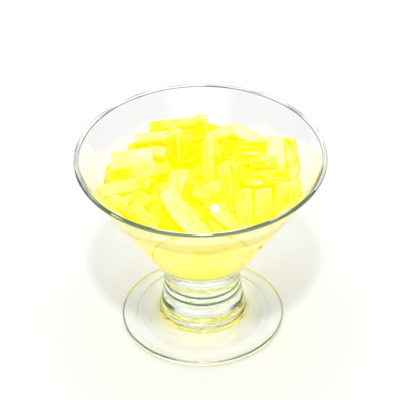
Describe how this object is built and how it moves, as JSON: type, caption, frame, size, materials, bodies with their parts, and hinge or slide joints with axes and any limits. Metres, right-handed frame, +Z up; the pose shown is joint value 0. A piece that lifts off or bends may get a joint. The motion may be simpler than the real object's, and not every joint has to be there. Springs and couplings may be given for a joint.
{
  "type": "dessert in glass",
  "caption": "Footed V-shaped clear glass coupe filled to just under its rim with a loose heap of yellow translucent jelly strips.",
  "frame": {"origin": "centre of the ring that the foot stands on", "axes": "+Z up along the glass's axis; the side shown in the picture faces -Y"},
  "size_m": [0.12, 0.12, 0.098],
  "materials": {
    "clear_glass": "clear pressed glass with a faint green edge tint",
    "yellow_jelly": "wet translucent pale yellow jelly, deeper yellow in the gaps"
  },
  "bodies": {
    "root": {"glass_coupe": "clear_glass", "jelly_heap": "yellow_jelly"}
  },
  "joints": []
}
